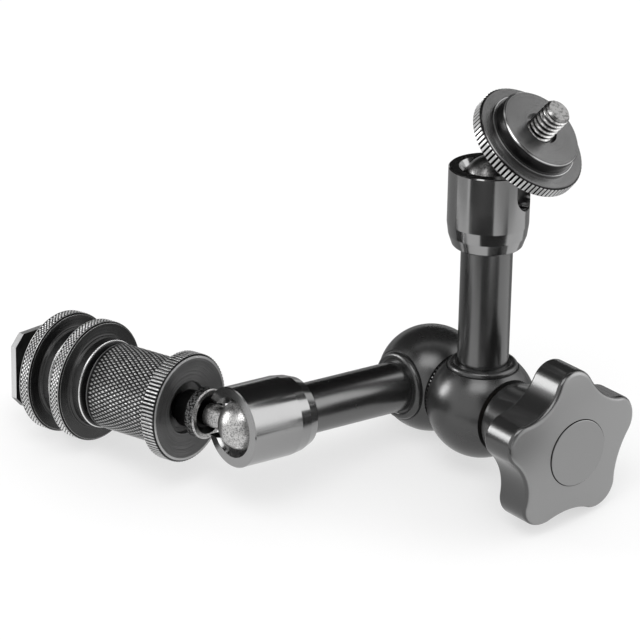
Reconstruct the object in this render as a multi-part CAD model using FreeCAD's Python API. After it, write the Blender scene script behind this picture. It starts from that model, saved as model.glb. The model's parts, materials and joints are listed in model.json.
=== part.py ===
import FreeCAD, Part
import math
import os

from FreeCAD import Placement, Rotation, Vector

# Articulating friction arm, in millimetres and degrees.
# Every sub-part is first made about its own axis, which is +Z, and is then placed.

# Pose in which the arm stands on its knob and its locking discs
elbow_angle = 87.6
rear_stud_tilt = 76.1
rear_stud_turn = -3.0
front_stud_tilt = 40.9
front_stud_turn = -15.0
shoe_foot_turn = 0.0
stand_lean = -6.4
stand_roll = 6.56

# Fits
running_gap = 0.05
ball_gap = 0.08
loose_gap = 0.3

# How far the clamp closes when the knob is tightened
tighten_travel = 0.3

# Small edges, and how far a cut runs past the face it opens
edge_break = 0.3
cut_past = 1.0

# Straight knurls: where a tooth's flat and its flank end, as shares of the pitch
tooth_flat_share = 0.4
tooth_flank_share = 0.7
knurl_bevel = 0.1

# Elbow bodies: two cast balls, each with one flat mating side
ball_body_radius = 12.9
mating_cut = 4.05
washer_thickness = 0.9
washer_outer_radius = 9.1
washer_inner_radius = 7.6
washer_tooth_count = 60
washer_tooth_depth = 0.35
knob_side_cut = 3.6
wedge_bore_radius = 5.6
wedge_bore_floor = 5.3
bead_sink = 0.8
bead_radius = 7.2
bead_section = 1.05
bead_groove = 0.35
bead_lip = 0.84
spring_groove_depth = 1.5
spring_groove_width = 1.3
spring_wire = 0.7
spring_turns = 3.0

# Tubes and the rods in them
arm_length = 55.7
tube_radius = 6.05
tube_bore_radius = 4.1
tube_engagement = 2.5
rod_radius = 3.4

# Ball sockets
socket_radius = 9.5
socket_rim = 3.55
socket_shoulder = 9.9
socket_swell = 0.25
socket_rim_edge = 0.25
socket_length = 15.5
socket_end_radius = 8.25
mouth_radius = 7.1
lip_height = 1.6
socket_bore_end = 9.4
slot_half_width = 4.25
slot_bottom = 1.5
front_slot_turn = -28.5
seat_cup_height = 4.75

# Ball studs
stud_ball_radius = 6.0
neck_radius = 2.75
collar_start = 10.3
collar_radius = 6.0
collar_dish_radius = 4.7
collar_dish_depth = 1.3
collar_dish_taper = 1.2
front_collar_length = 3.2
rear_collar_length = 2.5
stem_radius = 4.4

# Quarter inch screws
screw_radius = 3.175
screw_point = 0.5

# Locking wheel under the camera screw
wheel_thickness = 3.5
wheel_radius = 14.1
wheel_tooth_count = 80
wheel_tooth_depth = 0.45
wheel_step_radius = 11.0
wheel_step_height = 0.75
wheel_disc_height = 3.8
wheel_disc_radius = 10.3
wheel_disc_edge = 0.5
wheel_counterbore_radius = 4.1
wheel_counterbore_depth = 1.2
camera_screw_length = 6.8
relief_radius = 2.55
relief_height = 0.2

# Knurled sleeve with its flange
sleeve_start = 16.3
flange_thickness = 4.0
flange_radius = 13.0
flange_dish_depth = 0.8
flange_rim_width = 1.4
flange_tooth_count = 88
flange_tooth_depth = 0.4
sleeve_end = 40.0
sleeve_radius = 10.3
sleeve_edge = 0.4
sleeve_thread_depth = 12.0
stud_thread_length = 8.5

# Locking discs on the shoe screw
disc_gap = 1.3
disc_boss_radius = 10.7
disc_boss_length = 3.0
disc_flare = 0.55
disc_flare_length = 0.6
disc_radius = 14.75
disc_thickness = 3.5
disc_bevel = 0.5
disc_spacing = 9.6

# Shoe foot
foot_width = 18.4
foot_corner = 2.8
foot_thickness = 1.9
foot_distance = 65.1
foot_head_radius = 4.6
foot_head_height = 1.0
foot_recess = 0.3
screw_slot_width = 1.0
screw_slot_depth = 0.4
screw_end_gap = 0.5

# Clamp bolt, wedges and knob
bolt_radius = 3.0
bolt_head_radius = 5.4
bolt_head_flat = 4.6
bolt_head_height = 2.0
bolt_tip_chamfer = 0.6
bolt_end_gap = 1.0
wedge_small_radius = 3.6
wedge_foot = 1.2
bush_flange_radius = 7.6
bush_flange_thickness = 0.5
hub_radius = 8.8
hub_flare = 2.5
hub_length = 12.9
hub_edge = 0.4
knob_thickness = 11.3
knob_dome = 2.3
knob_lobe_count = 5
knob_lobe_reach = 19.5
knob_lobe_radius = 5.5
knob_hollow_reach = 14.9
knob_lobe_turn = 17.7
knob_edge = 1.3
knob_back_edge = 0.7
cap_radius = 8.0
cap_thickness = 1.6
cap_seam = 0.12
cap_sink = 0.1
cap_edge = 0.2
insert_depth = 1.5
insert_radius = 5.4
insert_length = 11.0
insert_groove = 0.5
insert_groove_width = 2.0


def z_axis():
    return Vector(0, 0, 1)


def turned(profile):
    # Solid of revolution about Z from (radius, height) corners
    points = [Vector(radius, 0, height) for radius, height in profile]
    points.append(points[0])
    face = Part.Face(Part.makePolygon(points))
    return face.revolve(Vector(0, 0, 0), z_axis(), 360)


def rod_between(radius, low, high):
    return Part.makeCylinder(radius, high - low, Vector(0, 0, low))


def rod_across(radius, low, high):
    # Cylinder along Y, from y = low to y = high
    return Part.makeCylinder(radius, high - low, Vector(0, low, 0), Vector(0, 1, 0))


def ring_of_teeth(outer_radius, depth, count, low, high):
    # Prism whose edge is a straight knurl: count ridges with a narrow flat on each
    points = []
    for tooth in range(count):
        start = 360.0 * tooth / count
        corners = ((0.0, outer_radius), (tooth_flat_share, outer_radius), (tooth_flank_share, outer_radius - depth))
        for share, radius in corners:
            angle = math.radians(start + share * 360.0 / count)
            points.append(Vector(radius * math.cos(angle), radius * math.sin(angle), low))
    points.append(points[0])
    return Part.Face(Part.makePolygon(points)).extrude(Vector(0, 0, high - low))


def toward(tilt, turn):
    # Turns +Z by tilt, in the direction that lies turn degrees from +Y towards +X
    return Rotation(z_axis(), -turn).multiply(Rotation(Vector(1, 0, 0), -tilt))


# Places

def rear_arm_place():
    return Placement(Vector(0, 0, 0), Rotation(Vector(0, 1, 0), -elbow_angle))


def front_arm_place():
    return Placement(Vector(0, -body_spacing(), 0), Rotation(z_axis(), 180))


def end_place(arm_place, tilt, turn):
    return arm_place.multiply(Placement(Vector(0, 0, arm_length), toward(tilt, turn)))


def rear_end_place():
    return end_place(rear_arm_place(), rear_stud_tilt, rear_stud_turn)


def front_end_place():
    return end_place(front_arm_place(), front_stud_tilt, front_stud_turn)


def knob_place():
    # Origin on the mating plane, +Z along the clamp bolt towards the knob
    return Placement(Vector(0, -body_spacing() / 2, 0), Rotation(Vector(1, 0, 0), 90))


# Elbow

def half_gap():
    return washer_thickness / 2


def mating_height():
    # From a body's centre to its mating face
    return ball_body_radius - mating_cut


def knob_flat_height():
    # From the front body's centre to the face under the knob
    return ball_body_radius - knob_side_cut


def body_spacing():
    return 2 * (mating_height() + half_gap())


def bead_height():
    return math.sqrt(ball_body_radius ** 2 - bead_radius ** 2) - bead_sink


def tube_seat_height():
    return bead_height() - tube_engagement


def make_elbow_body(opens_through):
    # Body about its centre, tube along +Z, mating face towards -Y
    ball = Part.makeSphere(ball_body_radius)
    flat = mating_height()
    reach = 2 * ball_body_radius
    slab = Part.makeBox(2 * reach, reach, 2 * reach, Vector(-reach, -flat - reach, -reach))
    body = ball.cut(slab)
    if opens_through:
        outer = Vector(0, knob_flat_height() - flat, 0)
        far_slab = slab.mirror(Vector(0, 0, 0), Vector(0, 1, 0))
        far_slab.translate(outer)
        body = body.cut(far_slab)
    seat = math.sqrt(ball_body_radius ** 2 - (bead_radius + bead_section + bead_groove) ** 2)
    crown = ball_body_radius + bead_section
    step = bead_radius + bead_section + bead_groove
    body = body.cut(rod_between(step, seat, crown).cut(rod_between(tube_radius, seat, crown)))
    body = body.cut(rod_between(step, bead_height(), crown))
    bead = Part.makeTorus(bead_radius, bead_section, Vector(0, 0, bead_height()))
    neck = rod_between(bead_radius, seat - bead_groove, bead_height() + bead_lip)
    body = body.fuse(neck).fuse(bead)
    high = knob_flat_height() if opens_through else ball_body_radius - wedge_bore_floor
    body = body.cut(rod_across(wedge_bore_radius, -flat, high))
    body = body.cut(rod_between(rod_radius + running_gap, 0, tube_seat_height()))
    body = body.cut(rod_between(tube_radius, tube_seat_height(), crown))
    return body.cut(spring_groove(flat)).removeSplitter()


def spring_groove(flat):
    outer = washer_inner_radius
    inner = outer - spring_groove_width
    ring = rod_across(outer, -flat, -flat + spring_groove_depth)
    return ring.cut(rod_across(inner, -flat, -flat + spring_groove_depth))


def make_toothed_washer():
    # Serrated ring that sits on the rear body and just clears the front one
    low = -half_gap()
    high = half_gap() - running_gap
    ring = ring_of_teeth(washer_outer_radius, washer_tooth_depth, washer_tooth_count, low, high)
    return ring.cut(rod_between(washer_inner_radius, low, high))


def make_release_spring():
    # Coil in the groove that the two bodies share; it parts them when the knob is slack
    room = 2 * (spring_groove_depth + half_gap())
    radius = washer_inner_radius - spring_groove_width / 2
    length = room - spring_wire - 2 * running_gap
    pitch = length / spring_turns
    helix = Part.makeHelix(pitch, length, radius)
    start = Part.makeCircle(spring_wire / 2, Vector(radius, 0, 0), Vector(0, radius, pitch / (2 * math.pi)))
    pipe = Part.Wire(helix).makePipeShell([Part.Wire(start)], True, True)
    pipe.translate(Vector(0, 0, -length / 2))
    return pipe


def wedge_profile():
    # Sliding wedge along +Z, its wide end outermost; the flank lies at 45 degrees
    slide_radius = wedge_bore_radius - running_gap
    rise = slide_radius - wedge_small_radius
    middle = body_spacing() / 2
    mean = (slide_radius + wedge_small_radius) / 2
    flank_low = middle - (mean - wedge_small_radius)
    bore = bolt_radius + running_gap
    low = flank_low - wedge_foot
    high = flank_low + rise + wedge_foot
    return [(bore, low), (wedge_small_radius, low), (wedge_small_radius, flank_low),
            (slide_radius, flank_low + rise), (slide_radius, high), (bore, high)]


def wedge_end():
    return wedge_profile()[-1][1]


def make_wedge():
    return turned(wedge_profile())


def make_clamp_bolt():
    # Head behind the rear wedge, thread in the knob's insert
    head_top = -wedge_end() - running_gap
    head_low = head_top - bolt_head_height
    tip = insert_end() - bolt_end_gap
    shank = rod_between(bolt_radius, head_low, tip)
    head = rod_between(bolt_head_radius, head_low, head_top)
    reach = 2 * bolt_head_radius
    trim = Part.makeBox(reach, reach, bolt_head_height, Vector(bolt_head_flat, -reach / 2, head_low))
    head = head.cut(trim).cut(trim.mirror(Vector(0, 0, 0), Vector(1, 0, 0)))
    bolt = shank.fuse(head)
    edge = [item for item in bolt.Edges if abs(item.BoundBox.ZMin - tip) < 0.01]
    return bolt.makeChamfer(bolt_tip_chamfer, edge).removeSplitter()


# Knob

def knob_side():
    # Height of the front body's knob side above the mating plane
    return body_spacing() / 2 + knob_flat_height()


def bush_seat():
    # The bush's flange stands clear of the body by the clamp's travel
    return knob_side() + tighten_travel + running_gap


def hub_start():
    return bush_seat() + bush_flange_thickness + running_gap


def insert_start():
    return hub_start() + insert_depth


def insert_end():
    return insert_start() + insert_length


def knob_back():
    return hub_start() + hub_length


def knob_face():
    return knob_back() + knob_thickness


def make_thrust_bush():
    # Flanged bush that passes the knob's push on to the front wedge
    bore = bolt_radius + running_gap
    low = wedge_end()
    seat = bush_seat()
    high = seat + bush_flange_thickness
    slide_radius = wedge_bore_radius - running_gap
    return turned([(bore, low), (slide_radius, low), (slide_radius, seat),
                   (bush_flange_radius, seat), (bush_flange_radius, high), (bore, high)])


def hollow_radius():
    # Radius of the arc that meets two neighbouring lobes on their flanks
    centre = knob_lobe_reach - knob_lobe_radius
    half = math.cos(math.pi / knob_lobe_count)
    top = centre ** 2 + knob_hollow_reach ** 2 - 2 * centre * knob_hollow_reach * half
    return (top - knob_lobe_radius ** 2) / (2 * (knob_lobe_radius + centre * half - knob_hollow_reach))


def knob_outline(height):
    # Closed wire of arcs: one round lobe and one hollow, repeated
    lobe_centre = knob_lobe_reach - knob_lobe_radius
    hollow = hollow_radius()
    hollow_centre = knob_hollow_reach + hollow
    half_turn = math.pi / knob_lobe_count
    edges = []

    def spot(distance, angle):
        return Vector(distance * math.cos(angle), distance * math.sin(angle), height)

    def joint(lobe_angle, hollow_angle):
        lobe = spot(lobe_centre, lobe_angle)
        gap = spot(hollow_centre, hollow_angle)
        return lobe + (gap - lobe) * (knob_lobe_radius / (knob_lobe_radius + hollow))

    for lobe in range(knob_lobe_count):
        angle = math.radians(knob_lobe_turn) + 2 * half_turn * lobe
        before = joint(angle, angle - half_turn)
        after = joint(angle, angle + half_turn)
        following = joint(angle + 2 * half_turn, angle + half_turn)
        edges.append(Part.Arc(before, spot(knob_lobe_reach, angle), after).toShape())
        edges.append(Part.Arc(after, spot(knob_hollow_reach, angle + half_turn), following).toShape())
    return Part.Wire(edges)


def make_knob():
    back = knob_back()
    body = Part.Face(knob_outline(back)).extrude(Vector(0, 0, knob_thickness)).common(crown())
    middle = back + knob_thickness / 2
    rim = [item for item in body.Edges if item.BoundBox.ZMin > middle and item.BoundBox.ZLength < knob_dome]
    body = body.makeFillet(knob_edge, rim)
    rim = [item for item in body.Edges if item.BoundBox.ZMax < back + 0.01]
    body = body.makeFillet(knob_back_edge, rim)
    start = hub_start()
    high = back + cut_past
    hub = turned([(0, start), (hub_radius - hub_edge, start), (hub_radius, start + hub_edge),
                  (hub_radius + hub_flare, high), (0, high)])
    body = body.fuse(hub)
    cap_floor = cap_top() - cap_thickness
    body = body.cut(rod_between(cap_radius + cap_seam, cap_floor, cap_top() + cut_past))
    body = body.cut(rod_between(bolt_radius + loose_gap, start, insert_end() + bolt_end_gap))
    pocket = rod_between(insert_radius, insert_start(), insert_end())
    return body.cut(pocket).removeSplitter()


def crown():
    # Large ball that gives the knob its domed front, lower by knob_dome at the lobes' tips
    radius = (knob_lobe_reach ** 2 + knob_dome ** 2) / (2 * knob_dome)
    return Part.makeSphere(radius, Vector(0, 0, knob_face() - radius))


def cap_top():
    return knob_face() - cap_sink


def make_knob_cap():
    cap = rod_between(cap_radius, cap_top() - cap_thickness, cap_top())
    rim = [item for item in cap.Edges if item.BoundBox.ZMin > cap_top() - 0.01]
    return cap.makeFillet(cap_edge, rim)


def make_knob_insert():
    # Threaded metal insert moulded into the knob, with one grip groove
    low = insert_start()
    high = insert_end()
    middle = (low + high) / 2
    half = insert_groove_width / 2
    bore = bolt_radius + running_gap
    waist = insert_radius - insert_groove
    return turned([(bore, low), (insert_radius, low), (insert_radius, middle - half),
                   (waist, middle - half), (waist, middle + half), (insert_radius, middle + half),
                   (insert_radius, high), (bore, high)])


# Arms, about the elbow body's centre with the tube along +Z

def make_tube():
    low = tube_seat_height()
    high = arm_length - socket_bore_end
    return rod_between(tube_radius, low, high).cut(rod_between(tube_bore_radius, low, high))


def make_push_rod():
    # Round lower end on the wedge's 45 degree flank, flat upper end on the pressure seat
    flank = (wedge_bore_radius - running_gap + wedge_small_radius) / 2
    centre = flank + (rod_radius + ball_gap) * math.sqrt(2)
    top = arm_length - seat_back() - tighten_travel - running_gap
    tip = Part.makeSphere(rod_radius, Vector(0, 0, centre))
    return rod_between(rod_radius, centre, top).fuse(tip).removeSplitter()


def make_socket(slot_turn):
    # About the ball's centre, mouth towards +Z, with the side slot that lets the neck lie over
    bore = stud_ball_radius + ball_gap
    lip = math.sqrt(bore ** 2 - lip_height ** 2)
    swell_radius = (socket_end_radius + socket_radius) / 2 + socket_swell
    outside = turned([(0, -socket_length), (socket_end_radius - edge_break, -socket_length),
                      (socket_end_radius, -socket_length + edge_break),
                      (swell_radius, -(socket_length + socket_shoulder) / 2),
                      (socket_radius, -socket_shoulder), (socket_radius, socket_rim - socket_rim_edge),
                      (socket_radius - socket_rim_edge, socket_rim), (0, socket_rim)])
    inside = rod_between(bore, -socket_bore_end, 0)
    inside = inside.fuse(Part.makeSphere(bore))
    inside = inside.fuse(turned([(0, lip_height), (lip, lip_height), (mouth_radius, socket_rim),
                                 (mouth_radius, socket_rim + cut_past), (0, socket_rim + cut_past)]))
    inside = inside.fuse(rod_between(tube_radius, -socket_length - cut_past, -socket_bore_end))
    slot = rod_across(slot_half_width, 0, 2 * socket_radius)
    slot.translate(Vector(0, 0, -slot_bottom))
    channel = Part.makeBox(2 * slot_half_width, 2 * socket_radius, socket_rim + slot_bottom + cut_past,
                           Vector(-slot_half_width, 0, -slot_bottom))
    slot = slot.fuse(channel)
    slot.rotate(Vector(0, 0, 0), z_axis(), -slot_turn)
    return outside.cut(inside).cut(slot).removeSplitter()


def seat_back():
    return socket_bore_end - running_gap


def make_pressure_seat():
    # Cup that bears on the back of the ball
    block = rod_between(stud_ball_radius, -seat_back(), -seat_cup_height)
    return block.cut(Part.makeSphere(stud_ball_radius + ball_gap))


# Ball studs, about the ball's centre with the screw along +Z

def stud_root(collar_end):
    # Ball, neck and collar with its dished face
    ball = Part.makeSphere(stud_ball_radius)
    dish = collar_start + collar_dish_depth
    neck = rod_between(neck_radius, 0, dish)
    collar = turned([(0, dish), (collar_dish_radius - collar_dish_taper, dish),
                     (collar_dish_radius, collar_start), (collar_radius - edge_break, collar_start),
                     (collar_radius, collar_start + edge_break),
                     (collar_radius, collar_end), (0, collar_end)])
    return ball.fuse(neck).fuse(collar)


def make_rear_ball_stud():
    end = sleeve_start + stud_thread_length
    seat = sleeve_start + flange_dish_depth
    collar_end = collar_start + rear_collar_length
    stem = rod_between(stem_radius, collar_start + collar_dish_depth, seat)
    thread = rod_between(screw_radius, collar_end, end)
    return stud_root(collar_end).fuse(stem).fuse(thread).removeSplitter()


def wheel_back():
    return collar_start + front_collar_length + running_gap


def disc_top():
    return wheel_back() + wheel_thickness + wheel_disc_height


def make_front_ball_stud():
    top = disc_top()
    low = collar_start + collar_dish_depth
    tip = top + camera_screw_length
    relief_low = top - wheel_counterbore_depth + relief_height
    relief_high = top + relief_height
    screw = turned([(0, low), (screw_radius, low), (screw_radius, relief_low),
                    (relief_radius, relief_low), (relief_radius, relief_high),
                    (screw_radius, relief_high), (screw_radius, tip - screw_point),
                    (screw_radius - screw_point, tip), (0, tip)])
    return stud_root(wheel_back() - running_gap).fuse(screw).removeSplitter()


def make_locking_wheel():
    low = wheel_back()
    rim = low + wheel_thickness
    step = rim + wheel_step_height
    top = disc_top()
    teeth = ring_of_teeth(wheel_radius, wheel_tooth_depth, wheel_tooth_count, low, rim)
    bevel = wheel_tooth_depth + knurl_bevel
    rounding = turned([(0, low), (wheel_radius - bevel, low), (wheel_radius, low + bevel),
                       (wheel_radius, rim - bevel), (wheel_radius - bevel, rim), (0, rim)])
    wheel = teeth.common(rounding)
    raised = turned([(0, low), (wheel_step_radius, low), (wheel_step_radius, step),
                     (wheel_disc_radius, step), (wheel_disc_radius, top - wheel_disc_edge),
                     (wheel_disc_radius - wheel_disc_edge, top), (0, top)])
    bore = rod_between(screw_radius + running_gap, low - cut_past, top + cut_past)
    counterbore = rod_between(wheel_counterbore_radius, top - wheel_counterbore_depth, top + cut_past)
    return wheel.fuse(raised).cut(bore).cut(counterbore).removeSplitter()


# Shoe end, about the rear ball's centre with the screw along +Z

def make_knurled_sleeve():
    # One turned piece: straight-knurled flange with a dished face, then the grip
    low = sleeve_start
    rim = low + flange_thickness
    bevel = flange_tooth_depth + knurl_bevel
    teeth = ring_of_teeth(flange_radius, flange_tooth_depth, flange_tooth_count, low, rim)
    rounding = turned([(0, low), (flange_radius - bevel, low), (flange_radius, low + bevel),
                       (flange_radius, rim - bevel), (flange_radius - bevel, rim), (0, rim)])
    seat = low + flange_dish_depth
    grip = turned([(0, seat), (sleeve_radius, seat), (sleeve_radius, sleeve_end - sleeve_edge),
                   (sleeve_radius - sleeve_edge, sleeve_end), (0, sleeve_end)])
    rim_radius = flange_radius - flange_rim_width
    dish = turned([(0, seat), (collar_radius + loose_gap, seat), (rim_radius, low),
                   (rim_radius, low - cut_past), (0, low - cut_past)])
    stud_bore = rod_between(screw_radius, low, low + stud_thread_length + cut_past)
    screw_bore = rod_between(screw_radius + running_gap, sleeve_end - sleeve_thread_depth, sleeve_end + cut_past)
    sleeve = teeth.common(rounding).fuse(grip)
    return sleeve.cut(dish).cut(stud_bore).cut(screw_bore).removeSplitter()


def upper_disc_start():
    return sleeve_end + disc_gap


def make_locking_disc(start):
    # Knurled nut: boss towards the sleeve, bevelled rim behind it
    front = start + disc_boss_length
    back = front + disc_thickness
    bore = screw_radius + running_gap
    return turned([(bore, start), (disc_boss_radius - edge_break, start),
                   (disc_boss_radius, start + edge_break), (disc_boss_radius, front - disc_flare_length),
                   (disc_boss_radius + disc_flare, front), (disc_radius - disc_bevel, front),
                   (disc_radius, front + disc_bevel), (disc_radius, back - disc_bevel),
                   (disc_radius - disc_bevel, back), (bore, back)])


def foot_inner():
    return foot_distance - foot_thickness


def make_shoe_foot():
    # Square plate with cut corners and a countersink for the screw's head
    half = foot_width / 2
    cut = half - foot_corner
    corners = [(half, cut), (cut, half), (-cut, half), (-half, cut),
               (-half, -cut), (-cut, -half), (cut, -half), (half, -cut)]
    points = [Vector(x, y, foot_inner()) for x, y in corners]
    points.append(points[0])
    plate = Part.Face(Part.makePolygon(points)).extrude(Vector(0, 0, foot_thickness))
    rim = [item for item in plate.Edges if item.BoundBox.ZMin > foot_distance - 0.01]
    plate = plate.makeChamfer(edge_break, rim)
    low = foot_inner() - cut_past
    high = foot_distance + cut_past
    hole = turned([(0, low), (screw_radius, low), (screw_radius, foot_distance - foot_head_height),
                   (foot_head_radius, foot_distance), (foot_head_radius, high), (0, high)])
    plate = plate.cut(hole)
    plate.rotate(Vector(0, 0, 0), z_axis(), shoe_foot_turn)
    return plate


def make_shoe_screw():
    # Countersunk screw, flush behind the foot's outer face
    low = sleeve_end - sleeve_thread_depth + screw_end_gap
    neck = foot_distance - foot_head_height
    flush = foot_distance - foot_recess
    head = screw_radius + (foot_head_radius - screw_radius) * (flush - neck) / foot_head_height
    slot_corner = Vector(-head, -screw_slot_width / 2, flush - screw_slot_depth)
    slot = Part.makeBox(2 * head, screw_slot_width, screw_slot_depth, slot_corner)
    screw = turned([(0, low), (screw_radius - screw_point, low), (screw_radius, low + screw_point),
                    (screw_radius, neck), (head, flush), (0, flush)])
    return screw.cut(slot)


def arm_parts(name, place, slot_turn, opens_through):
    # The six pieces that both arms share
    mouth = place.multiply(Placement(Vector(0, 0, arm_length), Rotation()))
    return {
        name + "_body": (make_elbow_body(opens_through), place),
        name + "_tube": (make_tube(), place),
        name + "_push_rod": (make_push_rod(), place),
        name + "_socket": (make_socket(slot_turn), mouth),
        name + "_pressure_seat": (make_pressure_seat(), mouth),
    }


def all_parts():
    rear_end = rear_end_place()
    front_end = front_end_place()
    knob_axis = knob_place()
    rear_wedge_place = knob_axis.multiply(Placement(Vector(0, 0, 0), Rotation(Vector(1, 0, 0), 180)))
    parts = {}
    parts.update(arm_parts("rear", rear_arm_place(), rear_stud_turn, False))
    parts.update(arm_parts("front", front_arm_place(), front_slot_turn, True))
    parts["toothed_washer"] = (make_toothed_washer(), knob_axis)
    parts["release_spring"] = (make_release_spring(), knob_axis)
    parts["front_wedge"] = (make_wedge(), knob_axis)
    parts["rear_wedge"] = (make_wedge(), rear_wedge_place)
    parts["clamp_bolt"] = (make_clamp_bolt(), knob_axis)
    parts["thrust_bush"] = (make_thrust_bush(), knob_axis)
    parts["knob"] = (make_knob(), knob_axis)
    parts["knob_cap"] = (make_knob_cap(), knob_axis)
    parts["knob_insert"] = (make_knob_insert(), knob_axis)
    parts["front_ball_stud"] = (make_front_ball_stud(), front_end)
    parts["locking_wheel"] = (make_locking_wheel(), front_end)
    parts["rear_ball_stud"] = (make_rear_ball_stud(), rear_end)
    parts["knurled_sleeve"] = (make_knurled_sleeve(), rear_end)
    parts["upper_locking_disc"] = (make_locking_disc(upper_disc_start()), rear_end)
    parts["lower_locking_disc"] = (make_locking_disc(upper_disc_start() + disc_spacing), rear_end)
    parts["shoe_screw"] = (make_shoe_screw(), rear_end)
    parts["shoe_foot"] = (make_shoe_foot(), rear_end)
    return parts


def stand_place(shapes):
    # Leans the arm as it stands, and sets the middle of its base at the origin
    lean = Rotation(Vector(1, 0, 0), stand_lean).multiply(Rotation(Vector(0, 1, 0), stand_roll))
    box = None
    for shape in shapes:
        leaned = shape.copy()
        leaned.Placement = Placement(Vector(0, 0, 0), lean).multiply(leaned.Placement)
        bounds = leaned.optimalBoundingBox(False)
        if box is None:
            box = bounds
        else:
            box.add(bounds)
    middle = Vector((box.XMin + box.XMax) / 2, (box.YMin + box.YMax) / 2, box.ZMin)
    return Placement(middle * -1, lean)


def build():
    placed = {}
    for name, (shape, place) in all_parts().items():
        piece = shape.Solids[0]
        piece.Placement = place.multiply(piece.Placement)
        placed[name] = piece
    stand = stand_place(placed.values())
    os.makedirs("parts", exist_ok=True)
    for name, shape in placed.items():
        shape.Placement = stand.multiply(shape.Placement)
        shape.exportStep(os.path.join("parts", name + ".step"))
        print(name, len(shape.Solids), shape.isValid(), round(shape.Volume, 1))
    return stand, placed


stand, placed = build()
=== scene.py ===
import json
import math
import bmesh
import bpy
from mathutils import Matrix, Vector


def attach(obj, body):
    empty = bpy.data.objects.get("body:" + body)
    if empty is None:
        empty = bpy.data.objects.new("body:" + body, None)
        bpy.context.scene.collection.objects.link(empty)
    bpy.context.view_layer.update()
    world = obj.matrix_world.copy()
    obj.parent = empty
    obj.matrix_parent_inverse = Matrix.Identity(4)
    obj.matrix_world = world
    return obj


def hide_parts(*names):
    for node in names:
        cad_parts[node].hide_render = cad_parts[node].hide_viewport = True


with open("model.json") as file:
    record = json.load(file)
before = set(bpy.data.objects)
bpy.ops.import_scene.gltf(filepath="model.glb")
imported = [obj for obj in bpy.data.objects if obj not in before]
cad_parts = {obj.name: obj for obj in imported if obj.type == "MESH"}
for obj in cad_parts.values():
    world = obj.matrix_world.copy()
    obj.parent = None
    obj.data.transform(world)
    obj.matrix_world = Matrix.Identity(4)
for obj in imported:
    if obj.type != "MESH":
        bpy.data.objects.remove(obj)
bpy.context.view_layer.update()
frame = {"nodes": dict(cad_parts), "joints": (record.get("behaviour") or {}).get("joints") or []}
nodes = frame["nodes"]
joints = {joint["name"]: joint for joint in frame["joints"]}
print("frame loaded:", len(nodes), "CAD nodes")


# Places: each turned piece is modelled in millimetres about +Z, then set in its place

def axisPlace(origin, axis, side):
    zAxis = Vector(axis).normalized()
    xAxis = (Vector(side) - zAxis * zAxis.dot(Vector(side))).normalized()
    yAxis = zAxis.cross(xAxis)
    turn = Matrix((xAxis, yAxis, zAxis)).transposed().to_4x4()
    return Matrix.Translation(Vector(origin)) @ turn


rearEnd = axisPlace(joints["rear_tilt"]["pos_m"], joints["sleeve_turn"]["axis"], (0, 0, 1))
frontEnd = axisPlace(joints["front_tilt"]["pos_m"], joints["locking_wheel_travel"]["axis"], (0, 0, 1))
rearArm = axisPlace(joints["rear_tilt"]["pos_m"], joints["rear_rod_travel"]["axis"], (0, 0, 1))
frontArm = axisPlace(joints["front_tilt"]["pos_m"], joints["front_swivel"]["axis"], (0, -1, 0))
knobAxis = axisPlace(joints["elbow"]["pos_m"], joints["elbow"]["axis"], (1, 0, 0))
millimetre = 0.001


# Shader maths written as expressions

class Value:
    def __init__(self, owner, socket):
        self.owner = owner
        self.socket = socket

    def math(self, kind, *others):
        return self.owner.mathNode(kind, self, *others)

    def __add__(self, other):
        return self.math("ADD", other)

    def __radd__(self, other):
        return self.math("ADD", other)

    def __sub__(self, other):
        return self.math("SUBTRACT", other)

    def __rsub__(self, other):
        return self.owner.mathNode("SUBTRACT", other, self)

    def __mul__(self, other):
        return self.math("MULTIPLY", other)

    def __rmul__(self, other):
        return self.math("MULTIPLY", other)

    def __pow__(self, other):
        return self.math("POWER", other)


class NodeSet:
    def __init__(self, owner, outputKind):
        owner.use_nodes = True
        self.tree = owner.node_tree
        self.tree.nodes.clear()
        self.output = self.node(outputKind)

    def link(self, source, target):
        self.tree.links.new(source, target)

    def node(self, kind, settings=None, inputs=None):
        made = self.tree.nodes.new(kind)
        for key, value in (settings or {}).items():
            setattr(made, key, value)
        for key, value in (inputs or {}).items():
            self.feed(made.inputs[key], value)
        return made

    def feed(self, socket, value):
        if isinstance(value, Value):
            self.link(value.socket, socket)
        elif isinstance(value, bpy.types.NodeSocket):
            self.link(value, socket)
        else:
            socket.default_value = value

    def mathNode(self, kind, *values):
        made = self.node("ShaderNodeMath", {"operation": kind}, dict(enumerate(values)))
        return Value(self, made.outputs[0])

    def mixShaders(self, factor, first, second):
        made = self.node("ShaderNodeMixShader", None, {0: factor, 1: first, 2: second})
        self.link(made.outputs["Shader"], self.output.inputs["Surface"])


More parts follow.
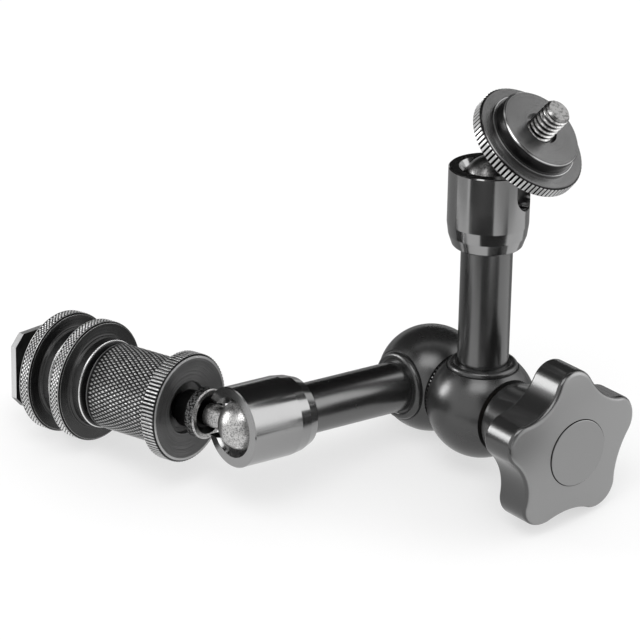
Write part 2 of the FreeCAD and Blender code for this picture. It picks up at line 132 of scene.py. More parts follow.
class Finish(NodeSet):
    def __init__(self, name, place=None):
        self.material = bpy.data.materials.new(name)
        super().__init__(self.material, "ShaderNodeOutputMaterial")
        self.shader = self.node("ShaderNodeBsdfPrincipled")
        self.link(self.shader.outputs["BSDF"], self.output.inputs["Surface"])
        self.coords = self.node("ShaderNodeTexCoord").outputs["Object"]
        if place is not None:
            mapping = self.node("ShaderNodeMapping", {"vector_type": "TEXTURE"}, {
                "Vector": self.coords, "Location": place.to_translation(), "Rotation": place.to_euler()})
            self.coords = mapping.outputs["Vector"]

    def axes(self):
        split = self.node("ShaderNodeSeparateXYZ", None, {"Vector": self.coords})
        return [Value(self, split.outputs[axis]) for axis in "XYZ"]

    def radius(self):
        x, y, z = self.axes()
        return (x * x + y * y) ** 0.5

    def between(self, value, low, high, blur=0.00004):
        # 1 where value lies from low to high, 0 elsewhere
        return self.ramp(value, low - blur, low) * (1 - self.ramp(value, high, high + blur))

    def inBand(self, radius, z, band):
        # band is (low radius, high radius, low z, high z) in mm
        lowRadius, highRadius, lowZ, highZ = [value * millimetre for value in band]
        return self.between(radius, lowRadius, highRadius) * self.between(z, lowZ, highZ)

    def ramp(self, value, low, high):
        made = self.node("ShaderNodeMapRange", {"interpolation_type": "SMOOTHSTEP"}, {
            "Value": value, "From Min": low, "From Max": high})
        return Value(self, made.outputs["Result"])

    def noise(self, scale, detail, stretch=None, seed=0.0):
        vector = self.coords
        if stretch is not None:
            vector = self.node("ShaderNodeVectorMath", {"operation": "MULTIPLY"}, {
                0: self.coords, 1: stretch}).outputs["Vector"]
        if seed:
            vector = self.node("ShaderNodeVectorMath", {"operation": "ADD"}, {
                0: vector, 1: (seed, seed, seed)}).outputs["Vector"]
        made = self.node("ShaderNodeTexNoise", None, {"Vector": vector, "Scale": scale, "Detail": detail})
        return Value(self, made.outputs["Fac"])

    def mixColour(self, factor, first, second):
        made = self.node("ShaderNodeMix", {"data_type": "RGBA"}, {0: factor, 6: first, 7: second})
        return made.outputs[2]

    def bump(self, height, distance, strength):
        inputs = {"Height": height, "Distance": distance, "Strength": strength}
        return self.node("ShaderNodeBump", None, inputs).outputs["Normal"]

    def set(self, **sockets):
        for key, value in sockets.items():
            self.feed(self.shader.inputs[key.replace("_", " ")], value)


def grey(tone, warmth=0.0):
    return (tone * (1 + warmth), tone, tone * (1 - warmth), 1)


def clouded(finish, cloud, tone, spread):
    # a grey that drifts by spread to both sides of tone
    return finish.mixColour(cloud, grey(tone * (1 - spread)), grey(tone * (1 + spread)))


# Finishes: scales are waves per metre, depths and places are metres unless a note says mm

glossLook = {"lineScale": 2600, "lineStretch": (0.03, 0.03, 1.0), "lineDepth": 0.000012, "lineStrength": 0.35,
             "markScale": 160, "markRough": 0.09, "wearScale": 900, "wearLow": 0.62, "wearHigh": 0.78,
             "wearShare": 0.06, "wearTone": 1.8, "wearRough": 0.01, "metallic": 0.98}


def glossBlack(name, place, tone, roughness):
    # polished anodised metal: fine turning lines round the axis, faint handling marks
    look = glossLook
    finish = Finish(name, place)
    lines = finish.noise(look["lineScale"], 2.0, look["lineStretch"])
    marks = finish.noise(look["markScale"], 4.0, seed=3.1)
    wear = finish.ramp(finish.noise(look["wearScale"], 5.0, seed=7.7), look["wearLow"], look["wearHigh"])
    worn = grey(tone * look["wearTone"])
    finish.set(Base_Color=finish.mixColour(wear * look["wearShare"], grey(tone), worn),
               Metallic=look["metallic"],
               Roughness=roughness + (marks - 0.5) * look["markRough"] + wear * look["wearRough"],
               Normal=finish.bump(lines, look["lineDepth"], look["lineStrength"]))
    return finish.material


castLook = {"peelScale": 1500, "peelDepth": 0.00002, "peelStrength": 0.3, "cloudScale": 110,
            "cloudRough": 0.08, "spread": 0.15, "metallic": 0.85}


def castBlack(name, place, tone, roughness):
    # blasted and blackened casting: softer gloss, a very fine orange peel
    look = castLook
    finish = Finish(name, place)
    peel = finish.noise(look["peelScale"], 3.0)
    cloud = finish.noise(look["cloudScale"], 3.0, seed=2.0)
    finish.set(Base_Color=clouded(finish, cloud, tone, look["spread"]),
               Metallic=look["metallic"],
               Roughness=roughness + (cloud - 0.5) * look["cloudRough"],
               Normal=finish.bump(peel, look["peelDepth"], look["peelStrength"]))
    return finish.material


# the dark and valley shares set the tone of the painted shade
turnedLook = {"ringPerRadius": 9000, "ringPerHeight": 5000, "ringStrength": 0.5, "markScale": 220,
              "markRough": 0.08, "spread": 0.15, "shadeShare": 0.12, "valleyShadeShare": 0.15, "valleyLow": 0.0004,
              "valleyHigh": 0.0003, "tipRough": 0.06, "metallic": 0.9}


def turnedBlack(name, place, tone, roughness, highlightTone, paintedCrestBands=(), lines=(), dark=(), ringDepth=0.00004):
    # lathe-turned metal with painted light in bands; each band is (low radius, high radius, low z, high z) in
    # mm: crest bands get a painted highlight on the crests and painted shade in the valleys, line bands are
    # painted highlight lines along edges, dark bands are painted shade
    look = turnedLook
    finish = Finish(name, place)
    radius = finish.radius()
    z = finish.axes()[2]
    rings = finish.node("ShaderNodeTexNoise", {"noise_dimensions": "1D"}, {
        "W": radius * look["ringPerRadius"] + z * look["ringPerHeight"],
        "Scale": 1.0, "Detail": 2.0}).outputs["Fac"]
    marks = finish.noise(look["markScale"], 4.0, seed=1.7)
    colour = clouded(finish, marks, tone, look["spread"])
    rough = roughness + (marks - 0.5) * look["markRough"]
    # painted shade in the dark bands
    for band in dark:
        colour = finish.mixColour(finish.inBand(radius, z, band), colour, grey(tone * look["shadeShare"]))
    # painted highlight lines along edges
    for band in lines:
        colour = finish.mixColour(finish.inBand(radius, z, band), colour, grey(highlightTone))
    for band in paintedCrestBands:
        # painted highlight on the crests over painted shade in the valleys
        lowRadius, highRadius, lowZ, highZ = [value * millimetre for value in band]
        atTeeth = finish.between(z, lowZ, highZ)
        crest = finish.ramp(radius, lowRadius, highRadius)
        valleyShadeMask = finish.ramp(radius, lowRadius - look["valleyLow"], lowRadius - look["valleyHigh"])
        colour = finish.mixColour(valleyShadeMask * (1 - crest) * atTeeth, colour, grey(tone * look["valleyShadeShare"]))
        colour = finish.mixColour(crest * atTeeth, colour, grey(highlightTone))
        rough = rough + crest * atTeeth * look["tipRough"]
    finish.set(Base_Color=colour, Metallic=look["metallic"], Roughness=rough,
               Normal=finish.bump(rings, ringDepth, look["ringStrength"]))
    return finish.material


ballLook = {"dentScale": 2300, "dentDepth": 0.00004, "dentStrength": 0.7, "stainScale": 1.3, "stainLow": 0.4,
            "stainHigh": 0.68, "stainTone": 0.38, "stainRough": 0.08, "roughness": 0.3, "collarRough": 0.1,
            "collarStart": 0.01065, "collarBlur": 0.00005, "pitTone": 0.05, "pitHigh": 0.5, "pitFrom": 0.42,
            "pitTo": 0.62, "dishStart": 0.0101, "dishFull": 0.0103, "dishRadius": 0.0046, "dishEdge": 0.0048,
            "dishShadeTone": 0.02}


def brightSteel(name, place, tone):
    # bare steel ball, finely roughened, with a darker turned collar above it and painted shade, near black, in
    # the dish in the collar
    look = ballLook
    finish = Finish(name, place)
    z = finish.axes()[2]
    radius = finish.radius()
    collar = finish.ramp(z, look["collarStart"] - look["collarBlur"], look["collarStart"])
    dents = finish.noise(look["dentScale"], 3.0)
    stain = finish.ramp(finish.noise(look["dentScale"] * look["stainScale"], 4.0, seed=5.0),
                        look["stainLow"], look["stainHigh"])
    steel = finish.mixColour(stain, grey(tone, 0.01), grey(tone * look["stainTone"]))
    pits = finish.ramp(dents, look["pitFrom"], look["pitTo"])
    turned = finish.mixColour(pits, grey(tone * look["pitTone"]), grey(tone * look["pitHigh"]))
    colour = finish.mixColour(collar, steel, turned)
    # painted shade in the dish
    inside = 1 - finish.ramp(radius, look["dishRadius"], look["dishEdge"])
    dish = finish.ramp(z, look["dishStart"], look["dishFull"]) * inside
    finish.set(Base_Color=finish.mixColour(dish, colour, grey(look["dishShadeTone"])),
               Metallic=1.0,
               Roughness=look["roughness"] + stain * look["stainRough"] + collar * look["collarRough"],
               Normal=finish.bump(dents, look["dentDepth"], look["dentStrength"]))
    return finish.material


screwLook = {"crestLow": 0.00268, "crestHigh": 0.00295, "rootShadeAndStainTone": 0.08, "crestHighlightTone": 0.6, "endTone": 0.36,
             "endLow": 0.0271, "endHigh": 0.0272, "stainScale": 1500, "stainLow": 0.46, "stainHigh": 0.66,
             "stainShare": 0.7, "stainRough": 0.12, "stainDepth": 0.00003, "stainStrength": 0.4,
             "roughness": 0.3}


def screwSteel(name, place):
    # painted highlight on the bright crests over painted shade in the dark roots, and a stained end; the stain
    # spots take the roots' dark tone
    look = screwLook
    finish = Finish(name, place)
    crest = finish.ramp(finish.radius(), look["crestLow"], look["crestHigh"])
    stain = finish.noise(look["stainScale"], 4.0)
    end = finish.ramp(finish.axes()[2], look["endLow"], look["endHigh"])
    steel = finish.mixColour(crest, grey(look["rootShadeAndStainTone"]), grey(look["crestHighlightTone"], 0.01))
    steel = finish.mixColour(end, steel, grey(look["endTone"], 0.01))
    spots = finish.ramp(stain, look["stainLow"], look["stainHigh"]) * look["stainShare"]
    finish.set(Base_Color=finish.mixColour(spots, steel, grey(look["rootShadeAndStainTone"])),
               Metallic=1.0,
               Roughness=look["roughness"] + (stain - 0.5) * look["stainRough"],
               Normal=finish.bump(stain, look["stainDepth"], look["stainStrength"]))
    return finish.material


knobLook = {"edgeStart": 0.00006, "edgeEnd": 0.00036, "seamLow": 0.00795, "seamHigh": 0.00815,
            "seamBlur": 0.00003, "seamShadeShare": 0.85, "seamShadeTone": 0.1, "sideShadeTone": 0.32, "faceRough": 0.14,
            "grainScale": 2600, "grainDepth": 0.000008, "grainStrength": 0.25, "cloudScale": 60,
            "cloudRough": 0.04, "metallic": 0.8}


def knobSatin(name, place, tone, roughness, faceTop, faceRadius):
    # satin face and glossier sides, with painted shade darkening the sides' colour; the face is the cap of a
    # large ball that ends at faceTop
    look = knobLook
    finish = Finish(name, place)
    x, y, z = finish.axes()
    depth = faceTop - faceRadius + (faceRadius ** 2 - (x * x + y * y)) ** 0.5 - z
    face = 1 - finish.ramp(depth, look["edgeStart"], look["edgeEnd"])
    # painted shade in the seam between knob and cap
    seamShade = finish.between(finish.radius(), look["seamLow"], look["seamHigh"], look["seamBlur"])
    grain = finish.noise(look["grainScale"], 2.0)
    cloud = finish.noise(look["cloudScale"], 2.0, seed=4.0)
    colour = finish.mixColour(face, grey(tone * look["sideShadeTone"]), grey(tone))
    finish.set(Base_Color=finish.mixColour(seamShade * look["seamShadeShare"], colour, grey(tone * look["seamShadeTone"])),
               Metallic=look["metallic"],
               Roughness=roughness + face * look["faceRough"] + (cloud - 0.5) * look["cloudRough"],
               Normal=finish.bump(grain, look["grainDepth"], look["grainStrength"]))
    return finish.material


metalLook = {"cloudScale": 400, "cloudRough": 0.1, "lowShare": 0.85}


def plainMetal(name, colour, roughness):
    finish = Finish(name)
    cloud = finish.noise(metalLook["cloudScale"], 4.0)
    lowColour = tuple(share * metalLook["lowShare"] for share in colour)
    finish.set(Base_Color=finish.mixColour(cloud, lowColour + (1,), colour + (1,)),
               Metallic=1.0,
               Roughness=roughness + (cloud - 0.5) * metalLook["cloudRough"])
    return finish.material


def dress(nodeName, material):
    for slot in nodes[nodeName].material_slots:
        slot.material = material


tones = {"socket": 0.29, "tube": 0.15, "elbow": 0.085, "washer": 0.12, "knob": 0.28, "knobCap": 0.266,
         "wheel": 0.16, "disc": 0.06, "sleeve": 0.13, "rearBall": 0.58, "frontBall": 0.232, "foot": 0.1,
         "shoeScrew": 0.5}
roughOf = {"rearSocket": 0.16, "frontSocket": 0.15, "rearTube": 0.26, "frontTube": 0.24, "elbow": 0.28,
           "washer": 0.4, "knob": 0.2, "wheel": 0.24, "foot": 0.3, "shoeScrew": 0.3, "inner": 0.3,
           "brass": 0.3, "darkBrass": 0.4, "sleeve": 0.3, "disc": 0.26}
knobFace = {"top": 0.0437, "radius": 0.0838}
knobCapFace = {"top": 0.0436, "radius": 1.0}  # all but flat
# painted highlight on the rim's tooth crests with painted shade in their valleys, painted shade on the raised
# disc's side wall, and painted highlight lines on the disc's top edge and the step edge
wheelBands = {"paintedCrestBands": [(13.88, 14.07, 13.8, 16.9)], "dark": [(10.2, 10.4, 17.9, 20.4)],
              "lines": [(9.95, 10.15, 20.55, 20.85), (10.85, 11.05, 17.6, 17.85)], "highlightTone": 0.55}
# painted highlight along the plate's edge faces
footBands = {"lines": [(0, 20, 63.25, 65.05)], "highlightTone": 0.65}

dress("rear_socket", glossBlack("socketGlossRear", rearArm, tones["socket"], roughOf["rearSocket"]))
dress("front_socket", glossBlack("socketGlossFront", frontArm, tones["socket"], roughOf["frontSocket"]))
dress("rear_tube", glossBlack("tubeGlossRear", rearArm, tones["tube"], roughOf["rearTube"]))
dress("front_tube", glossBlack("tubeGlossFront", frontArm, tones["tube"], roughOf["frontTube"]))
elbowBlack = castBlack("elbowCast", knobAxis, tones["elbow"], roughOf["elbow"])
dress("rear_body", elbowBlack)
dress("front_body", elbowBlack)
dress("toothed_washer", plainMetal("washerSteel", (tones["washer"],) * 3, roughOf["washer"]))
dress("knob", knobSatin("knobSatin", knobAxis, tones["knob"], roughOf["knob"],
                        knobFace["top"], knobFace["radius"]))
dress("knob_cap", knobSatin("knobCapSatin", knobAxis, tones["knobCap"], roughOf["knob"],
                            knobCapFace["top"], knobCapFace["radius"]))
dress("locking_wheel", turnedBlack("wheelTurned", frontEnd, tones["wheel"], roughOf["wheel"], **wheelBands))
dress("rear_ball_stud", brightSteel("ballSteelRear", rearEnd, tones["rearBall"]))
frontBallSteel = brightSteel("ballSteelFront", frontEnd, tones["frontBall"])
dress("front_ball_stud", frontBallSteel)
dress("shoe_foot", turnedBlack("footMetal", rearEnd, tones["foot"], roughOf["foot"], **footBands))
dress("shoe_screw", plainMetal("shoeScrewSteel", (tones["shoeScrew"],) * 3, roughOf["shoeScrew"]))
innerSteel = plainMetal("innerSteel", (0.55, 0.55, 0.56), roughOf["inner"])
for name in ("release_spring", "rear_push_rod", "front_push_rod", "clamp_bolt", "rear_wedge", "front_wedge"):
    dress(name, innerSteel)
dress("knob_insert", plainMetal("innerBrass", (0.72, 0.52, 0.22), roughOf["brass"]))
# the brass parts seen inside the sockets are darkened as painted shade
darkBrass = plainMetal("darkBrass", (0.14, 0.1, 0.05), roughOf["darkBrass"])
for name in ("thrust_bush", "rear_pressure_seat", "front_pressure_seat"):
    dress(name, darkBrass)
print("CAD nodes dressed")


# Modelling helpers, for one object at a time

weldDistance = 0.0005  # mm, doubles nearer than this are merged
heightSlack = 0.002  # mm, how far a vert may lie from the height that is asked for


def selectNothing():
    if bpy.context.object and bpy.context.object.mode != "OBJECT":
        bpy.ops.object.mode_set(mode="OBJECT")
    bpy.ops.object.select_all(action="DESELECT")


def startEdit(mode="EDGE"):
    bpy.ops.object.mode_set(mode="EDIT")
    bpy.ops.mesh.select_mode(type=mode)
    bpy.ops.mesh.select_all(action="DESELECT")


def endEdit():
    bpy.ops.object.mode_set(mode="OBJECT")


def pick(kind, test):
    # selects verts, edges or faces that pass the test, and nothing else
    mesh = bmesh.from_edit_mesh(bpy.context.object.data)
    for group in (mesh.verts, mesh.edges, mesh.faces):
        for item in group:
            item.select = False
    for item in getattr(mesh, kind):
        if test(item):
            item.select_set(True)
    mesh.select_flush_mode()
    bmesh.update_edit_mesh(bpy.context.object.data)


def atHeight(height):
    return lambda edge: all(abs(vert.co.z - height) < heightSlack for vert in edge.verts)


def drawRings(radius, height, rings):
    # draws the selected ring out along a turned profile of (radius, height)
    for nextRadius, nextHeight in rings:
        bpy.ops.mesh.extrude_edges_move(TRANSFORM_OT_translate={"value": (0, 0, nextHeight - height)})
        scaleRound(nextRadius / radius)
        radius, height = nextRadius, nextHeight


def scaleRound(share):
    # widens or narrows the selection about the axis
    bpy.ops.transform.resize(value=(share, share, 1), center_override=(0, 0, 0))


def latheRings(name, rings, count):
    # a new ring drawn out along the profile
    selectNothing()
    radius, height = rings[0]
    bpy.ops.mesh.primitive_circle_add(vertices=count, radius=radius, location=(0, 0, height))
    piece = bpy.context.object
    piece.name = name
    bpy.ops.object.transform_apply(location=True)
    startEdit()
    bpy.ops.mesh.select_all(action="SELECT")
    drawRings(radius, height, rings[1:])
    return piece


def closeRings():
    # joins the last ring to the first
    pick("edges", lambda edge: edge.is_boundary)
    bpy.ops.mesh.bridge_edge_loops()
    finishShell()


def finishShell():
    bpy.ops.mesh.select_all(action="SELECT")
    bpy.ops.mesh.remove_doubles(threshold=weldDistance)
    bpy.ops.mesh.normals_make_consistent(inside=False)
    endEdit()


def roundEdges(piece, edge):
    bevel = piece.modifiers.new("edges", "BEVEL")
    bevel.width = edge["width"]
    bevel.segments = edge["segments"]
    bevel.limit_method = "ANGLE"
    bevel.angle_limit = math.radians(edge["angle"])
    bpy.context.view_layer.objects.active = piece
    bpy.ops.object.modifier_apply(modifier=bevel.name)


def joinPieces(main, other):
    selectNothing()
    other.select_set(True)
    main.select_set(True)
    bpy.context.view_layer.objects.active = main
    bpy.ops.object.join()


def putInPlace(piece, place, smoothAngle):
    selectNothing()
    piece.select_set(True)
    bpy.context.view_layer.objects.active = piece
    piece.matrix_world = place @ Matrix.Scale(millimetre, 4)
    bpy.ops.object.transform_apply(location=True, rotation=True, scale=True)
    bpy.ops.object.shade_smooth_by_angle(angle=math.radians(smoothAngle))


def finishPiece(piece, material, body, node):
    piece.data.materials.clear()
    piece.data.materials.append(material)
    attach(piece, body)
    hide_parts(node)


def knurlBand(name, size):
    # diamond knurl: a grid turned into diamonds, each drawn up to a point; its ends go in by skirt
    low, high, rows = size["low"], size["high"], size["rows"]
    step = (high - low) / rows
    selectNothing()
    bpy.ops.mesh.primitive_cylinder_add(vertices=size["count"], radius=size["valley"], depth=step,
                                        end_fill_type="NOTHING", location=(0, 0, low + step / 2))
    band = bpy.context.object
    band.name = name
    bpy.ops.object.transform_apply(location=True)
    startEdit()
    for row in range(1, rows):
        pick("edges", atHeight(low + row * step))
        bpy.ops.mesh.extrude_edges_move(TRANSFORM_OT_translate={"value": (0, 0, step)})
    bpy.ops.mesh.select_all(action="SELECT")
    bpy.ops.mesh.normals_make_consistent(inside=False)
    bpy.ops.mesh.poke(offset=0)

    def onGrid(edge):
        drop = abs(edge.verts[0].co.z - edge.verts[1].co.z)
        return len(edge.link_faces) == 2 and (drop > step * 0.9 or drop < step * 0.1)

    pick("edges", onGrid)
    bpy.ops.mesh.dissolve_edges(use_verts=False)
    bpy.ops.mesh.select_mode(type="FACE")
    pick("faces", lambda face: len(face.verts) == 4)
    bpy.ops.mesh.poke(offset=size["depth"])
    bpy.ops.mesh.select_mode(type="EDGE")
    for height in (low, high):
        pick("edges", atHeight(height))
        drawRings(size["valley"], height, [(size["valley"] - size["skirt"], height)])
    closeRings()
    return band


# Knurled sleeve with its flange; a profile is a list of (radius, height) in mm from the ball's centre

sleeveSize = {"face": [(6.3, 17.1), (7.2, 17.08), (9.4, 16.85), (11.4, 16.38), (12.1, 16.3)],
              "rim": [(12.55, 16.36), (13.0, 16.7), (13.0, 19.9), (12.55, 20.28), (10.9, 20.3), (10.3, 20.4)],
              "grip": [(10.05, 20.65), (10.05, 39.45), (10.2, 39.5), (10.2, 39.7), (9.9, 40.0)],
              "bore": [(3.3, 40.0), (3.3, 19.1), (6.1, 18.1)],
              "flangeRadius": 13.0, "toothRoot": 12.6, "teeth": 88, "smooth": 25,
              "knurl": {"valley": 10.08, "depth": 0.27, "low": 20.75, "high": 39.4, "rows": 10, "count": 60,
                        "skirt": 0.8}}
# painted highlights on the flange teeth and the knurl crests with painted shade in their valleys, and painted
# highlight lines on the flange rim and the top edge
sleeveBands = {"paintedCrestBands": [(12.82, 12.98, 16.4, 20.25), (10.12, 10.28, 20.8, 39.4)],
               "lines": [(12.0, 12.5, 16.25, 16.45), (9.9, 10.25, 39.6, 40.05)],
               "highlightTone": 0.5, "ringDepth": 0.0004}


def buildSleeve(size):
    rings = size["face"] + size["rim"] + size["grip"] + size["bore"]
    sleeve = latheRings("sleeve_knurled", rings, size["teeth"] * 3)
    closeRings()
    startEdit("VERT")
    toothAngle = 2 * math.pi / size["teeth"]

    def inValley(vert):
        # one vert in three round the toothed rim
        if vert.co.xy.length < size["flangeRadius"] - 0.1:
            return False
        return 0.5 < (math.atan2(vert.co.y, vert.co.x) / toothAngle) % 1.0 < 0.9

    pick("verts", inValley)
    scaleRound(size["toothRoot"] / size["flangeRadius"])
    endEdit()
    joinPieces(sleeve, knurlBand("sleeveKnurl", size["knurl"]))
    putInPlace(sleeve, rearEnd, size["smooth"])
    return sleeve


sleeveFinish = turnedBlack("sleeveTurned", rearEnd, tones["sleeve"], roughOf["sleeve"], **sleeveBands)
finishPiece(buildSleeve(sleeveSize), sleeveFinish, "sleeve", "knurled_sleeve")
print("sleeve built")


# Locking discs; heights are from each disc's own start

discSize = {"boss": [(3.25, 0), (10.25, 0), (10.7, 0.4), (10.75, 2.3), (11.2, 2.65), (11.25, 3.0)],
            "rim": [(11.55, 3.12), (14.1, 3.0), (14.6, 3.45), (14.43, 3.6), (14.43, 5.9), (14.6, 6.05)],
            "back": [(14.1, 6.5), (3.25, 6.5)], "count": 144, "smooth": 25,
            "upperStart": 41.3, "lowerStart": 50.9, "edge": {"width": 0.08, "segments": 2, "angle": 25},
            "knurl": {"valley": 14.45, "depth": 0.26, "low": 3.5, "high": 6.0, "rows": 3, "count": 84,
                      "skirt": 0.8}}
# painted highlights on the knurl crests with painted shade in their valleys, and painted highlight lines on
# the bevel and both bosses' edges
discBands = {"paintedCrestBands": [(14.46, 14.58, 41, 58)],
             "lines": [(14.1, 14.4, 41, 58), (10.5, 10.66, 41.2, 41.8), (10.5, 10.66, 50.8, 51.4)],
             "highlightTone": 0.8, "ringDepth": 0.0001}


def buildDisc(name, start, size):
    rings = [(radius, start + height) for radius, height in size["boss"] + size["rim"] + size["back"]]
    disc = latheRings(name, rings, size["count"])
    closeRings()
    roundEdges(disc, size["edge"])
    knurl = size["knurl"]
    knurl = dict(knurl, low=start + knurl["low"], high=start + knurl["high"])
    joinPieces(disc, knurlBand(name + "Knurl", knurl))
    putInPlace(disc, rearEnd, size["smooth"])
    return disc


discFinish = turnedBlack("discTurned", rearEnd, tones["disc"], roughOf["disc"], **discBands)
for side in ("upper", "lower"):
    disc = buildDisc("disc_" + side, discSize[side + "Start"], discSize)
    finishPiece(disc, discFinish, side + "_disc", side + "_locking_disc")
print("locking discs built")


# Front ball stud with the camera screw's thread

studSize = {"ball": 6.0, "ballSegments": 64, "ballRings": 33, "openRings": 5, "smooth": 40,
            "neck": [(2.62, 5.7), (2.58, 6.5), (2.62, 9.8), (2.75, 11.2), (3.1, 11.6)],
            "dish": [(4.2, 11.55), (4.75, 10.4), (4.9, 10.3)],
            "collar": [(5.7, 10.3), (6.0, 10.6), (6.0, 13.5)],
            "screw": [(2.66, 13.5), (2.66, 26.9), (3.02, 27.0), (3.07, 27.17), (2.66, 27.65)],
            "screwStart": 19.1}
threadSize = {"crest": 3.17, "reach": 0.8, "pitch": 1.27, "rootShare": 0.96, "crestShare": 0.14,
              "turns": 6, "steps": 64, "start": 19.6, "tip": 27.65, "flush": 0.06, "chamfer": 0.48,
              "chamferShare": 0.84, "chamferFrom": 2.86}


def buildStud(size):
    selectNothing()
    bpy.ops.mesh.primitive_uv_sphere_add(segments=size["ballSegments"], ring_count=size["ballRings"],
                                         radius=size["ball"])
    stud = bpy.context.object
    stud.name = "stud_front"
    startEdit("FACE")
    opening = math.radians(size["openRings"] * 180 / size["ballRings"])
    radius, height = size["ball"] * math.sin(opening), size["ball"] * math.cos(opening)
    pick("faces", lambda face: face.calc_center_median().z > height)
    bpy.ops.mesh.delete(type="FACE")
    bpy.ops.mesh.select_mode(type="EDGE")
    pick("edges", lambda edge: edge.is_boundary)
    drawRings(radius, height, size["neck"] + size["dish"] + size["collar"] + size["screw"])
    bpy.ops.mesh.edge_face_add()
    finishShell()
    return stud


def buildThread(size):
    # one tooth of the thread, screwed up along the core
    selectNothing()
    bpy.ops.mesh.primitive_plane_add(size=1)
    thread = bpy.context.object
    thread.name = "threadTurns"
    startEdit("VERT")
    bpy.ops.mesh.select_all(action="SELECT")
    bpy.ops.transform.rotate(value=math.radians(90), orient_axis="X", center_override=(0, 0, 0))
    root = size["pitch"] * size["rootShare"]
    bpy.ops.transform.resize(value=(size["reach"], 1, root), center_override=(0, 0, 0))
    pick("verts", lambda vert: vert.co.x > 0)
    bpy.ops.transform.resize(value=(1, 1, size["crestShare"]), center_override=(0, 0, 0))
    bpy.ops.mesh.select_all(action="SELECT")
    bpy.ops.transform.translate(value=(size["crest"] - size["reach"] / 2, 0, size["start"]))
    bpy.ops.mesh.select_mode(type="FACE")
    bpy.ops.mesh.select_all(action="SELECT")
    bpy.ops.mesh.delete(type="ONLY_FACE")
    endEdit()
    screw = thread.modifiers.new("thread", "SCREW")
    screw.axis = "Z"
    screw.steps = size["steps"]
    screw.render_steps = size["steps"]
    screw.screw_offset = size["pitch"]
    screw.iterations = size["turns"]
    bpy.ops.object.modifier_apply(modifier=screw.name)
    startEdit()
    bpy.ops.mesh.select_all(action="SELECT")
    bpy.ops.mesh.remove_doubles(threshold=weldDistance)
    pick("edges", lambda edge: edge.is_boundary)
    bpy.ops.mesh.fill_holes(sides=4)
    bpy.ops.mesh.select_mode(type="VERT")
    flush = size["tip"] - size["flush"]
    pick("verts", lambda vert: vert.co.z > flush)
    bpy.ops.transform.resize(value=(1, 1, 0), center_override=(0, 0, flush))
    chamfer = size["tip"] - size["chamfer"]
    pick("verts", lambda vert: vert.co.z > chamfer and vert.co.xy.length > size["chamferFrom"])
    scaleRound(size["chamferShare"])
    finishShell()
    return thread


stud = buildStud(studSize)
joinPieces(stud, buildThread(threadSize))
putInPlace(stud, frontEnd, studSize["smooth"])
finishPiece(stud, frontBallSteel, "front_stud", "front_ball_stud")
stud.data.materials.append(screwSteel("screwSteel", frontEnd))
fromEnd = frontEnd.inverted()
for face in stud.data.polygons:
    if (fromEnd @ face.center).z > studSize["screwStart"] * millimetre:
        face.material_index = 1
print("front stud built")


# Floor, backdrop and light

floorLook = {"size": 12, "tone": 0.95, "roughness": 0.85, "specular": 0.2, "nearReach": 0.15, "farReach": 0.55,
             "nearWhite": 0.6, "farWhite": 1.0}
skyLook = {"light": 0.75, "white": 1.0}


def floorFinish(look):
    # white paper that keeps the object's shadow; a share of it shows as plain white, and all of it far out
    finish = Finish("floorPaper")
    finish.set(Base_Color=grey(look["tone"]), Roughness=look["roughness"], Specular_IOR_Level=look["specular"])
    white = finish.node("ShaderNodeEmission", None, {"Color": grey(1.0), "Strength": 1.0})
    path = finish.node("ShaderNodeLightPath")
    seen = Value(finish, path.outputs["Is Camera Ray"]).math("MAXIMUM", path.outputs["Is Glossy Ray"])
    far = finish.ramp(finish.radius(), look["nearReach"], look["farReach"])
    share = far * (look["farWhite"] - look["nearWhite"]) + look["nearWhite"]
    finish.mixShaders(seen * share, finish.shader.outputs["BSDF"], white.outputs["Emission"])
    return finish.material


selectNothing()
bpy.ops.mesh.primitive_plane_add(size=floorLook["size"], location=(0, 0, 0))
floor = bpy.context.object
floor.name = "floor"
floor.data.materials.append(floorFinish(floorLook))

world = bpy.data.worlds.new("studio")
bpy.context.scene.world = world
sky = NodeSet(world, "ShaderNodeOutputWorld")
path = sky.node("ShaderNodeLightPath")
seen = Value(sky, path.outputs["Is Camera Ray"]).math("MAXIMUM", path.outputs["Is Glossy Ray"])
seen = seen.math("MAXIMUM", path.outputs["Is Transmission Ray"])
light = sky.node("ShaderNodeBackground", None, {"Color": grey(1.0), "Strength": skyLook["light"]})
white = sky.node("ShaderNodeBackground", None, {"Color": grey(1.0), "Strength": skyLook["white"]})
sky.mixShaders(seen, light.outputs["Background"], white.outputs["Background"])

# azimuth is in degrees, seen from above, and 0 looks along +Y
cameraSize = {"place": (-0.38115, -0.50030, 0.42637), "right": (0.79118, -0.61150, -0.00888),
              "down": (-0.32772, -0.41175, -0.85029), "lens": 179.1, "sensor": 36.0, "azimuth": -37.4,
              "clipStart": 0.01}
target = Vector((0, 0, 0.04))


def around(azimuth, elevation, distance):
    # a point round the object; azimuth counts to the right of the camera
    turn = math.radians(cameraSize["azimuth"] + azimuth)
    rise = math.radians(elevation)
    level = math.cos(rise)
    return target + distance * Vector((math.sin(turn) * level, -math.cos(turn) * level, math.sin(rise)))


def aim(thing, place):
    thing.location = place
    thing.rotation_euler = (target - place).to_track_quat("-Z", "Y").to_euler()


def addSoftbox(name, azimuth, elevation, distance, width, height, level):
    lamp = bpy.data.lights.new(name, "AREA")
    lamp.shape = "RECTANGLE"
    lamp.size = width
    lamp.size_y = height
    lamp.energy = level * math.pi * width * height
    box = bpy.data.objects.new(name, lamp)
    bpy.context.scene.collection.objects.link(box)
    aim(box, around(azimuth, elevation, distance))


cardLook = {"flagTone": 0.01, "floorLift": 0.0004}


def addFlag(name, azimuth, elevation, distance, width, height):
    # black card that faces the object
    selectNothing()
    bpy.ops.mesh.primitive_plane_add(size=1)
    flag = bpy.context.object
    flag.name = name
    flag.scale = (width, height, 1)
    aim(flag, around(azimuth, elevation, distance))
    blacken(flag, cardLook["flagTone"])


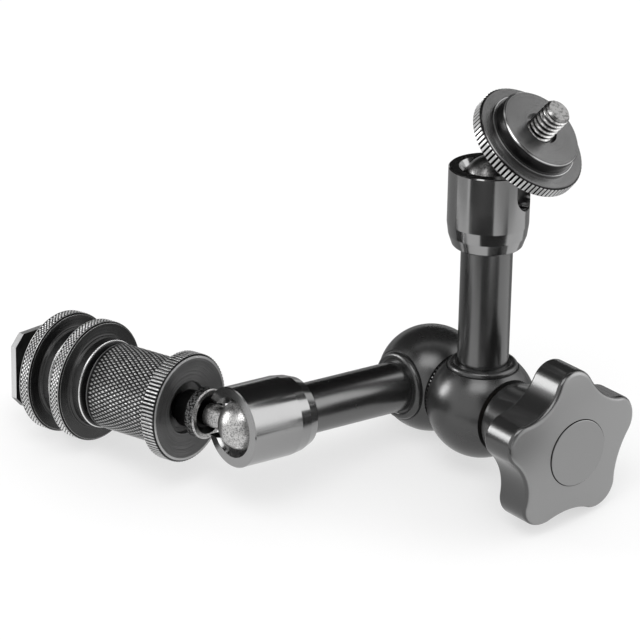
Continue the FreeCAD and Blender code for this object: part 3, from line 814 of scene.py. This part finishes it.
def addFloorCard(name, centre, azimuth, spread, near, far, tone):
    # dark wedge that lies just over the floor and widens away from centre
    selectNothing()
    bpy.ops.mesh.primitive_plane_add(size=1)
    card = bpy.context.object
    card.name = name
    startEdit("VERT")
    bpy.ops.mesh.select_all(action="SELECT")
    bpy.ops.transform.translate(value=(0, -0.5, 0))  # one side on the centre
    bpy.ops.transform.resize(value=(1, far - near, 1), center_override=(0, 0, 0))
    bpy.ops.transform.translate(value=(0, -near, 0))
    half = math.tan(math.radians(spread / 2))
    for distance in (near, far):
        pick("verts", lambda vert: abs(vert.co.y + distance) < 0.001)
        bpy.ops.transform.resize(value=(2 * half * distance, 1, 1), center_override=(0, 0, 0))
    endEdit()
    card.location = (centre.x, centre.y, cardLook["floorLift"])
    card.rotation_euler = (0, 0, math.radians(cameraSize["azimuth"] + azimuth))
    blacken(card, tone)


def blacken(card, tone):
    # only reflections see the card
    finish = Finish(card.name + "Cloth")
    finish.set(Base_Color=grey(tone), Roughness=1.0, Specular_IOR_Level=0.0)
    card.data.materials.append(finish.material)
    card.visible_camera = False
    card.visible_diffuse = False
    card.visible_shadow = False


# azimuth, elevation, distance, width, height, and a softbox's level
softboxes = {"left": (-104, 13, 0.9, 0.26, 0.42, 10.0), "right": (95, 25, 1.0, 0.9, 0.9, 1.2),
             "front": (-15, 68, 0.8, 0.5, 0.4, 3.0)}
for name, values in softboxes.items():
    addSoftbox(name + "Softbox", *values)
flags = {"camera": (14, 30, 0.95, 0.55, 0.9), "top": (0, 89, 0.9, 1.5, 0.5), "back": (180, 45, 0.9, 1.6, 0.7),
         "backLow": (180, 15, 0.9, 1.7, 0.42), "leftBack": (-140, 30, 0.9, 0.7, 0.9)}
for name, values in flags.items():
    addFlag(name + "Flag", *values)
# centre, azimuth, spread, nearest and farthest reach, tone
floorCards = {"near": (frontArm, 13, 73, 0.09, 0.2, 0.02), "far": (frontArm, -22, 66, 0.2, 0.5, 0.02),
              "farRight": (frontArm, 69, 116, 0.2, 0.5, 0.45), "farLeft": (frontArm, -97, 70, 0.2, 0.5, 0.45),
              "behind": (rearArm, 180, 130, 0.03, 0.6, 0.28)}
for name, (place, *values) in floorCards.items():
    addFloorCard(name + "FloorCard", place.to_translation(), *values)

cameraData = bpy.data.cameras.new("camera")
cameraData.lens = cameraSize["lens"]
cameraData.sensor_width = cameraSize["sensor"]
cameraData.clip_start = cameraSize["clipStart"]
camera = bpy.data.objects.new("camera", cameraData)
bpy.context.scene.collection.objects.link(camera)
right, up = Vector(cameraSize["right"]).normalized(), -Vector(cameraSize["down"]).normalized()
back = right.cross(up)
turn = Matrix((right, up, back)).transposed().to_4x4()
camera.matrix_world = Matrix.Translation(Vector(cameraSize["place"])) @ turn
bpy.context.scene.camera = camera
bpy.context.scene.view_settings.view_transform = "Standard"
print("stage set")


selectNothing()
